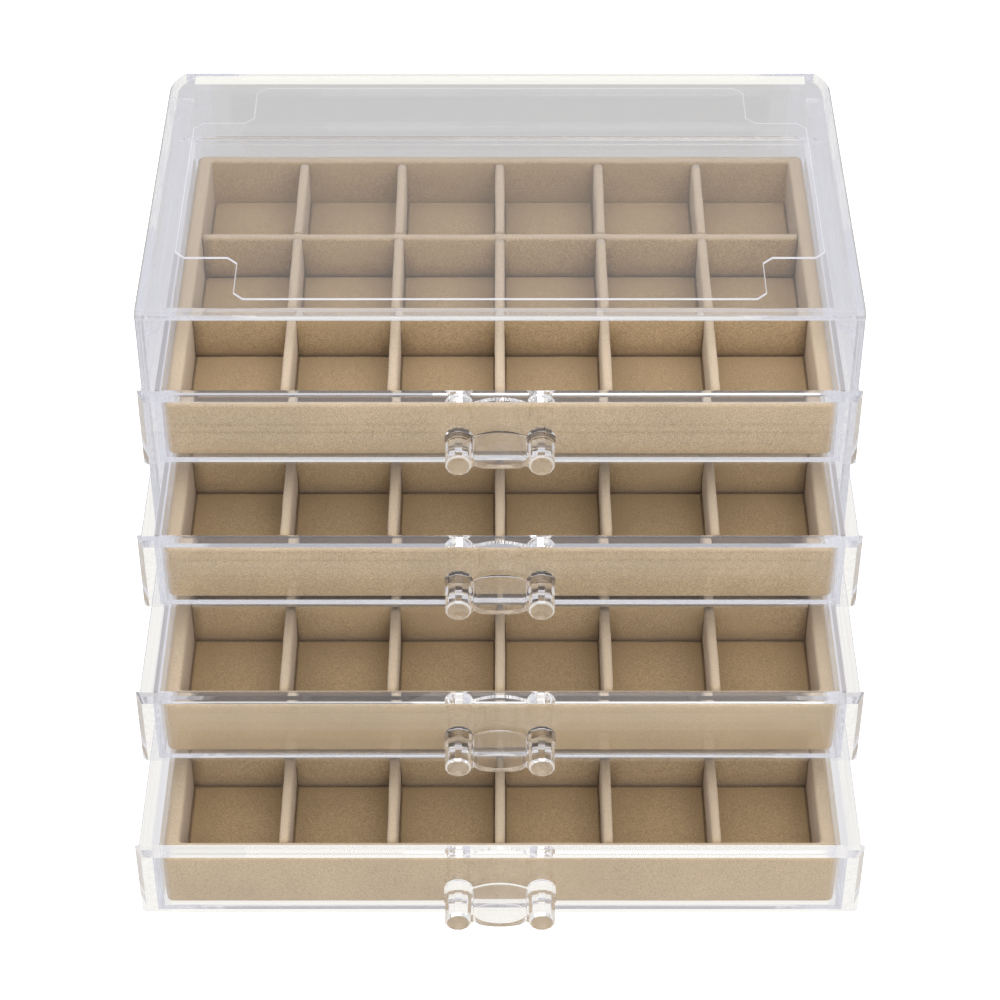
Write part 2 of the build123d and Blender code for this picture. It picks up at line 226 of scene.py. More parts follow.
# Nodes and links of a material, with its shader and output
class Shading:
    def __init__(self, name):
        self.material = bpy.data.materials.new(name)
        self.material.use_nodes = True
        self.material.cycles.emission_sampling = "NONE"
        self.nodes = self.material.node_tree.nodes
        self.links = self.material.node_tree.links
        self.nodes.clear()
        self.output = self.add("ShaderNodeOutputMaterial")
        self.place = self.add("ShaderNodeTexCoord").outputs["Object"]

    def add(self, kind, **settings):
        node = self.nodes.new(kind)
        for key, value in settings.items():
            setattr(node, key, value)
        return node

    def join(self, start, end):
        self.links.new(start, end)

    def noise(self, size, detail=2.0, roughness=0.5, stretch=(1, 1, 1)):
        mapping = self.add("ShaderNodeMapping")
        mapping.inputs["Scale"].default_value = stretch
        self.join(self.place, mapping.inputs["Vector"])
        texture = self.add("ShaderNodeTexNoise")
        texture.inputs["Scale"].default_value = 1 / size
        texture.inputs["Detail"].default_value = detail
        texture.inputs["Roughness"].default_value = roughness
        self.join(mapping.outputs["Vector"], texture.inputs["Vector"])
        return texture.outputs["Fac"]

    def ramp(self, factor, stops):
        ramp = self.add("ShaderNodeValToRGB")
        elements = ramp.color_ramp.elements
        for index, (position, colour) in enumerate(stops):
            element = elements[index] if index < 2 else elements.new(position)
            element.position = position
            element.color = (*colour, 1)
        self.join(factor, ramp.inputs["Fac"])
        return ramp.outputs["Color"]

    def mix(self, factor, first, second, kind="MIX"):
        mix = self.add("ShaderNodeMix", data_type="RGBA", blend_type=kind)
        if isinstance(factor, (int, float)):
            mix.inputs[0].default_value = factor
        else:
            self.join(factor, mix.inputs[0])
        for slot, colour in ((6, first), (7, second)):
            if isinstance(colour, tuple):
                mix.inputs[slot].default_value = (*colour, 1)
            else:
                self.join(colour, mix.inputs[slot])
        return mix.outputs[2]

    def grade(self, factor, low, high):
        scale = self.add("ShaderNodeMapRange")
        scale.inputs["To Min"].default_value = low
        scale.inputs["To Max"].default_value = high
        self.join(factor, scale.inputs["Value"])
        return scale.outputs["Result"]

    def maths(self, operation, first, second=None):
        node = self.add("ShaderNodeMath", operation=operation)
        for slot, value in enumerate((first, second)):
            if isinstance(value, (int, float)):
                node.inputs[slot].default_value = value
            elif value is not None:
                self.join(value, node.inputs[slot])
        return node.outputs[0]

    def blend(self, factor, first, second):
        node = self.add("ShaderNodeMixShader")
        self.join(factor, node.inputs[0])
        self.join(first, node.inputs[1])
        self.join(second, node.inputs[2])
        return node.outputs[0]

    # The three coordinates of a point of the object
    def coordinates(self):
        parts = self.add("ShaderNodeSeparateXYZ")
        self.join(self.place, parts.inputs[0])
        return parts.outputs

    def emission(self, colour):
        light = self.add("ShaderNodeEmission")
        light.inputs["Color"].default_value = (*colour, 1)
        return light.outputs[0]

    # A share of painted light, an emission, in one area of a surface
    def lit(self, area, share, surface, colour):
        return self.blend(self.maths("MULTIPLY", area, share), surface, self.emission(colour))

    def bump(self, height, strength, distance, under=None):
        bump = self.add("ShaderNodeBump")
        bump.inputs["Strength"].default_value = strength
        bump.inputs["Distance"].default_value = distance
        self.join(height, bump.inputs["Height"])
        if under is not None:
            self.join(under, bump.inputs["Normal"])
        return bump.outputs["Normal"]


# Short-pile velvet: a fine grain, broad brushed areas and a painted sheen, a paler cast at grazing
# angles and on the parts that face up, standing in for the light that the pile ends catch
def make_velvet(name, dark, light, upward_sheen_share):
    shading = Shading(name)
    shader = shading.add("ShaderNodeBsdfPrincipled")
    grain = shading.noise(GRAIN_SIZE, 3.0, 0.65)
    brushed = shading.noise(BRUSHED_SIZE, 2.0, 0.5, (1.0, 0.6, 1.0))
    flecks = shading.noise(FLECK_SIZE, 1.0)
    pile = shading.ramp(grain, zip(GRAIN_STOPS, (dark, light)))
    nap = shading.ramp(brushed, NAP_STOPS)
    colour = shading.mix(1.0, pile, nap, "MULTIPLY")
    # Painted sheen at grazing angles
    facing = shading.add("ShaderNodeLayerWeight")
    facing.inputs["Blend"].default_value = GRAZING_SHEEN_BLEND
    grazing_sheen = shading.maths("MULTIPLY", facing.outputs["Facing"], VELVET_GRAZING_SHEEN)
    colour = shading.mix(grazing_sheen, colour, VELVET_SHEEN_COLOUR)
    # Painted sheen on the parts that face up: the base colour turns paler as the normal points up
    normal = shading.add("ShaderNodeSeparateXYZ")
    shading.join(shading.add("ShaderNodeNewGeometry").outputs["Normal"], normal.inputs[0])
    crown = shading.add("ShaderNodeMapRange")
    crown.inputs["From Min"].default_value = UPWARD_SHEEN_FROM
    crown.inputs["From Max"].default_value = UPWARD_SHEEN_TO
    crown.inputs["To Max"].default_value = upward_sheen_share
    shading.join(normal.outputs[2], crown.inputs["Value"])
    colour = shading.mix(crown.outputs["Result"], colour, VELVET_SHEEN_COLOUR)
    shading.join(colour, shader.inputs["Base Color"])
    shader.inputs["Roughness"].default_value = 0.95
    shader.inputs["Specular IOR Level"].default_value = 0.1
    shader.inputs["Sheen Weight"].default_value = 0.25
    shader.inputs["Sheen Roughness"].default_value = 0.5
    shader.inputs["Sheen Tint"].default_value = (*SHEEN_TINT, 1)
    coarse = shading.bump(flecks, *FLECK_BUMP)
    shading.join(shading.bump(grain, *GRAIN_BUMP, coarse), shader.inputs["Normal"])
    shading.join(shader.outputs[0], shading.output.inputs["Surface"])
    return shading.material


# Squared distance of a point from the axis of the nearer post, from its distance to the middle and
# its height over the axis
def off_post_axis(shading, side, above):
    across = shading.maths("SUBTRACT", side, POST_X)
    return shading.maths("ADD", shading.maths("POWER", across, 2.0), shading.maths("POWER", above, 2.0))


# Where light passes between a plate and its handle, which are bonded without a gap that can be seen
def bonded_area(shading, face_y, axis_z, whole_face):
    x, y, z = shading.coordinates()
    away = shading.maths("ABSOLUTE", shading.maths("SUBTRACT", y, face_y))
    on_face = shading.maths("LESS_THAN", away, BOND_DEPTH)
    if whole_face:
        return on_face
    side = shading.maths("ABSOLUTE", x)
    above = shading.maths("SUBTRACT", z, axis_z)
    square = off_post_axis(shading, side, above)
    in_post = shading.maths("LESS_THAN", square, POST_BOND_RADIUS ** 2)
    share = shading.maths("POWER", shading.maths("DIVIDE", side, WEB_SPAN), 2.0)
    arch = shading.maths("MULTIPLY", shading.maths("SUBTRACT", 1.0, share), WEB_ARCH)
    off_web = shading.maths("ABSOLUTE", shading.maths("SUBTRACT", above, arch))
    in_web = shading.maths("LESS_THAN", off_web, WEB_BOND_HALF)
    between = shading.maths("LESS_THAN", side, WEB_BOND_REACH)
    in_web = shading.maths("MULTIPLY", in_web, between)
    return shading.maths("MULTIPLY", on_face, shading.maths("MAXIMUM", in_post, in_web))


# The edge of the raised field on the top, where a thin painted highlight goes: a rectangle with a chamfered
# notch at each corner. Each value is a distance outside one of its sides
def field_edge_highlight(shading, shell_low, shell_high):
    low_y = shell_low.y + FIELD_FRONT_MARGIN
    high_y = shell_high.y - FIELD_BACK_MARGIN
    half_x = shell_high.x - FIELD_SIDE_MARGIN
    half_y = (high_y - low_y) / 2
    notch_x, notch_y = half_x - NOTCH_WIDTH, half_y - NOTCH_DEPTH
    x, y, z = shading.coordinates()
    x = shading.maths("ABSOLUTE", x)
    y = shading.maths("ABSOLUTE", shading.maths("SUBTRACT", y, (low_y + high_y) / 2))
    both = shading.maths("ADD", x, y)

    def past(value, limit):
        return shading.maths("SUBTRACT", value, limit)

    def slant(limit):
        return shading.maths("MULTIPLY", past(both, limit), math.sqrt(0.5))

    in_notch = shading.maths("MINIMUM", past(x, notch_x), past(y, notch_y))
    in_notch = shading.maths("MINIMUM", in_notch, slant(notch_x + notch_y + NOTCH_CHAMFER))
    before_notch = shading.maths("SUBTRACT", notch_y + FIELD_HIGHLIGHT_WIDTH, y)
    side_corner = shading.maths("MINIMUM", slant(half_x + notch_y - NOTCH_CHAMFER), before_notch)
    beside_notch = shading.maths("SUBTRACT", notch_x + FIELD_HIGHLIGHT_WIDTH, x)
    end_corner = shading.maths("MINIMUM", slant(notch_x + half_y - NOTCH_CHAMFER), beside_notch)
    outside = shading.maths("MAXIMUM", past(x, half_x), past(y, half_y))
    for value in (in_notch, side_corner, end_corner):
        outside = shading.maths("MAXIMUM", outside, value)
    near = shading.maths("LESS_THAN", shading.maths("ABSOLUTE", outside), FIELD_HIGHLIGHT_WIDTH)
    above = shading.maths("GREATER_THAN", z, shell_high.z - FIELD_RISE + BOND_DEPTH)
    return shading.maths("MULTIPLY", near, above)


# How much painted highlight the top's front edge gets: its flat face, less an unlit line across it,
# and the upper part of its bevel
def front_edge_highlight(shading, shell_low, shell_high):
    y, z = shading.coordinates()[1:]
    back = shading.maths("SUBTRACT", y, shell_low.y)
    shoulder_z = shell_high.z - FIELD_RISE
    high = shading.maths("GREATER_THAN", z, shoulder_z - TOP_THICKNESS)
    below = shading.maths("ABSOLUTE", shading.maths("SUBTRACT", z, shoulder_z - UNLIT_LINE_DROP))
    off_unlit_line = shading.maths("GREATER_THAN", below, UNLIT_LINE_HALF)
    flat_highlight = shading.maths("MULTIPLY", shading.maths("LESS_THAN", back, BOND_DEPTH), FLAT_EDGE_HIGHLIGHT_SHARE)
    flat_highlight = shading.maths("MULTIPLY", flat_highlight, off_unlit_line)
    bevel_middle = shading.maths("ABSOLUTE", shading.maths("SUBTRACT", back, BEVEL_LIT_Y))
    bevel_highlight = shading.maths("LESS_THAN", bevel_middle, BEVEL_LIT_HALF)
    upper = shading.maths("GREATER_THAN", z, shoulder_z - BEVEL_DROP)
    bevel_highlight = shading.maths("MULTIPLY", shading.maths("MULTIPLY", bevel_highlight, upper), BEVEL_HIGHLIGHT_SHARE)
    return shading.maths("MULTIPLY", shading.maths("ADD", flat_highlight, bevel_highlight), high)


# The band of the top over the back wall, with painted glow that stands in for the light the wall carries up
def back_band_glow(shading, shell_low, shell_high):
    x, y, z = shading.coordinates()
    before = shading.maths("SUBTRACT", shell_high.y, y)
    off_middle = shading.maths("ABSOLUTE", shading.maths("SUBTRACT", before, BACK_BAND_Y))
    within = shading.maths("LESS_THAN", off_middle, BACK_BAND_HALF)
    between = shading.maths("LESS_THAN", shading.maths("ABSOLUTE", x), BACK_BAND_X)
    on_top = shading.maths("GREATER_THAN", z, shell_high.z - FIELD_RISE - BOND_DEPTH)
    return shading.maths("MULTIPLY", shading.maths("MULTIPLY", within, between), on_top)


# The outermost edge of the top along its sides, drawn as a thin darker line of painted shade, a share of
# grey light
def side_outline_shade(shading, shell_low, shell_high):
    x, _, z = shading.coordinates()
    inward = shading.maths("SUBTRACT", shell_high.x, shading.maths("ABSOLUTE", x))
    near = shading.maths("LESS_THAN", inward, OUTLINE_WIDTH)
    high = shading.maths("GREATER_THAN", z, shell_high.z - OUTLINE_DROP)
    return shading.maths("MULTIPLY", near, high)


# The chamfer round the front end of a handle's posts, which gets a painted highlight
def post_end_highlight(shading, end_y, axis_z):
    x, y, z = shading.coordinates()
    square = off_post_axis(shading, shading.maths("ABSOLUTE", x), shading.maths("SUBTRACT", z, axis_z))
    outer = shading.maths("GREATER_THAN", square, POST_RING_RADIUS ** 2)
    in_post = shading.maths("LESS_THAN", square, POST_BOND_RADIUS ** 2)
    off_end = shading.maths("ABSOLUTE", shading.maths("SUBTRACT", y, end_y))
    near_end = shading.maths("LESS_THAN", off_end, POST_RING_DEPTH)
    return shading.maths("MULTIPLY", shading.maths("MULTIPLY", outer, in_post), near_end)


# The top of a drawer's side walls, with painted glow so that it shows pale where it looks down into the
# wall
def wall_top_glow(shading, box_low, box_high):
    x, y, z = shading.coordinates()
    off_wall = shading.maths("SUBTRACT", shading.maths("ABSOLUTE", x), DRAWER_WALL_X)
    near = shading.maths("LESS_THAN", shading.maths("ABSOLUTE", off_wall), DRAWER_WALL_HALF)
    behind_plate = shading.maths("GREATER_THAN", y, box_low.y + PLATE_THICKNESS)
    on_top = shading.maths("GREATER_THAN", z, box_high.z - WALL_TOP_DEPTH)
    return shading.maths("MULTIPLY", shading.maths("MULTIPLY", near, behind_plate), on_top)


# 1 in all of the case but the middle of its back wall, which carries light up from the table and gets no
# painted haze
def off_back_wall(shading, back_y):
    x, y, _ = shading.coordinates()
    before = shading.maths("LESS_THAN", y, back_y - GUIDING_DEPTH)
    beside = shading.maths("GREATER_THAN", shading.maths("ABSOLUTE", x), GUIDING_X)
    return shading.maths("MAXIMUM", before, beside)


# Clear moulded plastic that lets lamplight through. The tests by kind of ray keep its shadows clear
# and add a painted haze, a share of pale light mixed in, to rays that run inside it, more in streaks at the
# sides
def make_clear(name, bond=None, edged=None, ringed=None, walled=None):
    shading = Shading(name)
    shader = shading.add("ShaderNodeBsdfPrincipled")
    shader.inputs["Base Color"].default_value = (*CLEAR_TINT, 1)
    shader.inputs["Transmission Weight"].default_value = 1.0
    shader.inputs["IOR"].default_value = CLEAR_IOR
    shader.inputs["Roughness"].default_value = 0.0
    surface = shader.outputs[0]
    light_path = shading.add("ShaderNodeLightPath")
    off_middle = shading.maths("ABSOLUTE", shading.coordinates()[0])
    at_side = shading.maths("GREATER_THAN", off_middle, PAINTED_HAZE_SIDE_X)
    glow_streaks = shading.noise(GLOW_STREAK_SIZE, 2.0, 0.6, (1.0, GLOW_STREAK_RUN, 1.0))
    painted_side_haze = shading.grade(glow_streaks, PAINTED_HAZE_SIDE_LOW, PAINTED_HAZE_SIDE_HIGH)
    painted_side_haze = shading.maths("MULTIPLY", at_side, shading.maths("SUBTRACT", painted_side_haze, PAINTED_HAZE))
    amount = shading.maths("ADD", PAINTED_HAZE, painted_side_haze)
    # Painted haze: pale light mixed in on mirrored rays
    painted_haze_share = shading.maths("MULTIPLY", light_path.outputs["Is Glossy Ray"], amount)
    if edged:
        painted_haze_share = shading.maths("MULTIPLY", painted_haze_share, off_back_wall(shading, edged[1].y))
    surface = shading.blend(painted_haze_share, surface, shading.emission(PAINTED_HAZE_COLOUR))
    # Painted highlights on the field's edge and the top's front edge, painted glow on the back band and
    # painted shade on the side outline
    if edged:
        for area, share, colour in ((field_edge_highlight, FIELD_HIGHLIGHT_SHARE, FIELD_HIGHLIGHT_COLOUR),
                                    (front_edge_highlight, 1.0, FRONT_EDGE_HIGHLIGHT_COLOUR),
                                    (back_band_glow, BACK_BAND_GLOW_SHARE, BACK_BAND_GLOW_COLOUR),
                                    (side_outline_shade, OUTLINE_SHADE_SHARE, OUTLINE_SHADE_COLOUR)):
            surface = shading.lit(area(shading, *edged), share, surface, colour)
    # Painted glow on the drawers' wall tops
    if walled:
        surface = shading.lit(wall_top_glow(shading, *walled), WALL_TOP_GLOW_SHARE, surface, WALL_TOP_GLOW_COLOUR)
    # Painted highlight on the posts' chamfers
    if ringed:
        surface = shading.lit(post_end_highlight(shading, *ringed), POST_RING_HIGHLIGHT_SHARE, surface, POST_RING_HIGHLIGHT_COLOUR)
    if bond:
        joined = shading.add("ShaderNodeBsdfTransparent")
        surface = shading.blend(bonded_area(shading, *bond), surface, joined.outputs[0])
    through = shading.add("ShaderNodeBsdfTransparent")
    through.inputs["Color"].default_value = (*SHADOW_TINT, 1)
    surface = shading.blend(light_path.outputs["Is Shadow Ray"], surface, through.outputs[0])
    shading.join(surface, shading.output.inputs["Surface"])
    return shading.material


def dress(material, nodes):
    for node in nodes:
        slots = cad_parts[node].material_slots
        for slot in slots:
            slot.material = material


# Each drawer has its own two plastics, because the bonded area lies elsewhere on each
def dress_drawer(number):
    box_node, handle_node = f"drawer_{number}_box", f"drawer_{number}_handle"
    box_low, box_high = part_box(box_node)
    axis_z = box_high.z - HANDLE_DROP
    box_bond = (box_low.y, axis_z, False)
    handle_bond = (box_low.y - BOND_GAP, axis_z, True)
    box_plastic = make_clear(f"clear_drawer_plastic_{number}", bond=box_bond, walled=(box_low, box_high))
    dress(box_plastic, [box_node])
    end = (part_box(handle_node)[1].y - POST_LENGTH, axis_z)
    dress(make_clear(f"clear_handle_plastic_{number}", bond=handle_bond, ringed=end), [handle_node])


# Points of a rounded rectangle, as many for every inset, anticlockwise from above
def rounded_loop(low, high, corner, across, along, steps):
    radius = max(corner, LEAST_CORNER)
    x0, x1 = low.x + radius, high.x - radius
    y0, y1 = low.y + radius, high.y - radius
    points = []
    corners = ((x1, y0, -90, along), (x1, y1, 0, across), (x0, y1, 90, along), (x0, y0, 180, across))
    for number, (x, y, start, count) in enumerate(corners):
        for step in range(steps + 1):
            angle = math.radians(start + 90 * step / steps)
            points.append((x + radius * math.cos(angle), y + radius * math.sin(angle)))
        next_x, next_y, next_start, _ = corners[(number + 1) % 4]
        angle = math.radians(next_start)
        end = (next_x + radius * math.cos(angle), next_y + radius * math.sin(angle))
        begin = points[-1]
        for step in range(1, count):
            share = step / count
            points.append(tuple(a + (b - a) * share for a, b in zip(begin, end)))
    return points


# An arc of a profile in inset and height, from one angle to another
def profile_arc(centre, radius, start, end, steps):
    arc = []
    for step in range(steps + 1):
        angle = math.radians(start + (end - start) * step / steps)
        arc.append((centre[0] + radius * math.cos(angle), centre[1] + radius * math.sin(angle)))
    return arc


def soft_shift(point, seed, amount, size):
    return noise.noise(Vector(point) / size + Vector((seed, 2.3 * seed, 0.0))) * amount


# Faces between neighbouring closed rings of as many points
def bridge_rings(mesh_data, rings):
    for first, second in zip(rings, rings[1:]):
        for index in range(len(first)):
            after = (index + 1) % len(first)
            mesh_data.faces.new((first[index], first[after], second[after], second[index]))


# Turns mesh data into a piece that rides on a body and replaces a soft solid. A fill is given for pads
def finish_piece(name, mesh_data, body, node, levels=1, material=None):
    bmesh.ops.recalc_face_normals(mesh_data, faces=mesh_data.faces)
    mesh_data.normal_update()
    mesh = bpy.data.meshes.new(name)
    mesh_data.to_mesh(mesh)
    mesh_data.free()
    for polygon in mesh.polygons:
        polygon.use_smooth = True
    piece = bpy.data.objects.new(name, mesh)
    bpy.context.scene.collection.objects.link(piece)
    mesh.materials.append(material or VELVET)
    if levels:
        smooth = piece.modifiers.new("soft_edges", "SUBSURF")
        smooth.levels = levels
        smooth.render_levels = levels
    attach(piece, body)
    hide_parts(node)
    return piece


# Padded rim: a closed ring whose section bulges a little between its rounded edges. The outer half
# of the section is measured from the outer wall, the inner half from the inner wall
def make_rim(number):
    node = f"drawer_{number}_tray_rim"
    low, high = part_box(node)
    height = high.z - low.z
    top = height - RIM_PLAY
    outer, inner, foot = RIM_OUTER_ROUND, RIM_INNER_ROUND, RIM_FOOT_ROUND
    outer_half = profile_arc((foot, foot), foot, 270, 180, 3)
    outer_half += [(-0.02 * MM, height * 0.3), (-0.03 * MM, height * 0.6)]
    outer_half += profile_arc((outer, top - outer), outer, 180, 100, 5)
    inner_half = profile_arc((-inner, top - inner), inner, 80, 0, 4)
    inner_half += [(0.1 * MM, height * 0.62), (0.08 * MM, height * 0.32), (0.0, 0.1 * MM), (-0.1 * MM, 0.0)]
    loops = []
    for inset, z in outer_half:
        inset += RIM_PLAY
        shift_low, shift_high = Vector((inset, inset, 0)), Vector((inset, inset, 0))
        loops.append((low + shift_low, high - shift_high, RIM_CORNER - inset, z))
    for inset, z in inner_half:
        shift_low = Vector((RIM_SIDE + inset, RIM_FRONT + inset, 0))
        shift_high = Vector((RIM_SIDE + inset, RIM_BACK + inset, 0))
        loops.append((low + shift_low, high - shift_high, RIM_INNER_CORNER - inset, z))
    mesh_data = bmesh.new()
    rings = []
    for loop_low, loop_high, corner, z in loops:
        ring = []
        for x, y in rounded_loop(loop_low, loop_high, corner, RIM_COLUMNS, RIM_ROWS, RIM_CORNER_STEPS):
            place = Vector((x, y, low.z + z))
            centre = Vector(((low.x + high.x) / 2, (low.y + high.y) / 2, place.z))
            outward = (place - centre).normalized()
            sway = soft_shift(place, number, RIM_SWAY, RIM_SWAY_SIZE)
            lift = soft_shift(place, number + RIM_LIFT_SEED, RIM_LIFT, RIM_LIFT_SIZE) * (z / height) ** 2
            ring.append(mesh_data.verts.new(place + outward * sway + Vector((0, 0, lift))))
        rings.append(ring)
    bridge_rings(mesh_data, rings + rings[:1])
    finish_piece(f"velvet_rim_{number}", mesh_data, f"drawer_{number}", node)


# One strip on edge, lofted along its run. Slots are cut from above or from below
def make_strip(name, body, node, along_x, slots, slot_side, seed):
    low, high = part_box(node)
    run, cross = (0, 1) if along_x else (1, 0)
    start, end = low[run] + STRIP_END_PLAY, high[run] - STRIP_END_PLAY
    middle = (low[cross] + high[cross]) / 2
    half = (high[cross] - low[cross]) / 2 - STRIP_SIDE_PLAY
    height = high.z - low.z
    crown, swell_half = STRIP_CROWN, half + STRIP_SWELL
    foot_half, foot_z = half - STRIP_FOOT, STRIP_FOOT_Z
    section = [(-foot_half, -STRIP_SINK), (-foot_half, foot_z), (-half, foot_z + STRIP_FOOT)]
    section += [(-swell_half, height * 0.35), (-swell_half, height * 0.7)]
    section += [(-x, z) for x, z in profile_arc((half - crown, height - crown), crown, 0, 80, 4)]
    section += profile_arc((half - crown, height - crown), crown, 80, 0, 4)
    section += [(swell_half, height * 0.7), (swell_half, height * 0.35)]
    section += [(half, foot_z + STRIP_FOOT), (foot_half, foot_z), (foot_half, -STRIP_SINK)]
    slot_half = half + STRIP_LAP / 2
    middle_height = height / 2
    stations = set()
    count = round((end - start) / STATION_SPACING)
    for step in range(count + 1):
        place = start + (end - start) * step / count
        if all(abs(place - slot) > slot_half + CLEAR_OF_SLOT for slot in slots):
            stations.add((place, False))
    for slot in slots:
        for side in (-1, 1):
            stations.add((slot + side * (slot_half + SLOT_EDGE), False))
            stations.add((slot + side * slot_half, True))
    mesh_data = bmesh.new()
    rings = []
    for place, cut in sorted(stations):
        ring = []
        bend = soft_shift((place, middle, low.z), seed, STRIP_BEND, STRIP_BEND_SIZE)
        for offset, z in section:
            if cut and slot_side == "above":
                z = z * middle_height / height
            if cut and slot_side == "below":
                z = height - (height - z) * middle_height / height
            spot_seed = seed + STRIP_UNEVEN_SEED
            swell = 1 + soft_shift((place, offset, z), spot_seed, STRIP_UNEVEN, STRIP_UNEVEN_SIZE)
            spot = Vector((0, 0, low.z + z))
            spot[run] = place
            spot[cross] = middle + bend * (z / height) + offset * swell
            ring.append(mesh_data.verts.new(spot))
        rings.append(ring)
    bridge_rings(mesh_data, rings)
    mesh_data.faces.new(rings[0])
    mesh_data.faces.new(tuple(reversed(rings[-1])))
    finish_piece(name, mesh_data, body, node, levels=0)


def centre_of(node, axis):
    low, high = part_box(node)
    return (low[axis] + high[axis]) / 2


def make_strips(number):
    prefix = f"drawer_{number}"
    long_nodes = [f"{prefix}_long_divider_{count}" for count in range(1, LONG_STRIPS + 1)]
    short_nodes = [f"{prefix}_short_divider_{count}" for count in range(1, SHORT_STRIPS + 1)]
    rows = [centre_of(node, 1) for node in long_nodes]
    columns = [centre_of(node, 0) for node in short_nodes]
    for count, node in enumerate(long_nodes, start=1):
        name = f"velvet_long_strip_{number}_{count}"
        make_strip(name, prefix, node, True, columns, "below", 3 * number + count)
    for count, node in enumerate(short_nodes, start=1):
        name = f"velvet_short_strip_{number}_{count}"
        make_strip(name, prefix, node, False, rows, "above", 7 * number + count)


# Padded floor: puffed in each cell, with a narrow groove along the foot of each strip and of the rim
def make_pad(number):
    node = f"drawer_{number}_floor_pad"
    prefix = f"drawer_{number}"
    low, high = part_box(node)
    reach = Vector((PAD_REACH, PAD_REACH, 0))
    low, high = low - reach, high + reach
    rows = [centre_of(f"{prefix}_long_divider_{count}", 1) for count in range(1, LONG_STRIPS + 1)]
    columns = [centre_of(f"{prefix}_short_divider_{count}", 0) for count in range(1, SHORT_STRIPS + 1)]
    x_marks = [low.x] + columns + [high.x]
    y_marks = [low.y] + rows + [high.y]

    def puff(value, marks):
        for first, second in zip(marks, marks[1:]):
            if first <= value <= second:
                share = (value - first) / (second - first)
                return min(1.0, 4.5 * share * (1 - share)) ** 0.6
        return 0.0

    # How far a place is past the foot of a strip or of the rim
    def past_foot(value, marks):
        from_strips = [abs(value - mark) - STRIP_HALF for mark in marks[1:-1]]
        return min(from_strips + [value - marks[0] - PAD_REACH, marks[-1] - value - PAD_REACH])

    def grid_lines(marks, count):
        first, last = marks[0], marks[-1]
        even = [first + (last - first) * step / count for step in range(1, count)]
        lines = [value for value in even if past_foot(value, marks) > GROOVE_WIDTH + CLEAR_OF_GROOVE]
        for mark in marks[1:-1]:
            for side in (-1, 1):
                lines += [mark + side * (STRIP_HALF + offset) for offset in (-UNDER_STRIP, *GROOVE_STEPS)]
        for edge, inward in ((first, 1), (last, -1)):
            lines += [edge] + [edge + inward * (PAD_REACH + offset) for offset in GROOVE_STEPS]
        return sorted(lines)

    def groove(distance):
        share = (GROOVE_WIDTH - distance) / (GROOVE_WIDTH - GROOVE_STEPS[0])
        return GROOVE_DEPTH * min(1.0, max(0.0, share))

    mesh_data = bmesh.new()
    x_lines, y_lines = grid_lines(x_marks, PAD_COLUMNS), grid_lines(y_marks, PAD_ROWS)
    across, along = len(x_lines) - 1, len(y_lines) - 1
    grid = []
    for y in y_lines:
        line = []
        for x in x_lines:
            swell = puff(x, x_marks) * puff(y, y_marks)
            z = high.z - PAD_SINK + PAD_PUFF * swell
            z += soft_shift((x, y, 0), number, PAD_SWAY, PAD_SWAY_SIZE)
            z -= groove(min(past_foot(x, x_marks), past_foot(y, y_marks)))
            line.append(mesh_data.verts.new((x, y, z)))
        grid.append(line)
    for row in range(along):
        for column in range(across):
            mesh_data.faces.new((grid[row][column], grid[row][column + 1],
                                 grid[row + 1][column + 1], grid[row + 1][column]))
    border = grid[0] + [line[-1] for line in grid[1:]]
    border += list(reversed(grid[-1][:-1])) + [line[0] for line in reversed(grid[1:-1])]
    base = [mesh_data.verts.new((vertex.co.x, vertex.co.y, low.z)) for vertex in border]
    for index in range(len(border)):
        after = (index + 1) % len(border)
        mesh_data.faces.new((border[after], border[index], base[index], base[after]))
    mesh_data.faces.new(tuple(reversed(base)))
    finish_piece(f"velvet_floor_{number}", mesh_data, prefix, node, 0, FLOOR_VELVET)


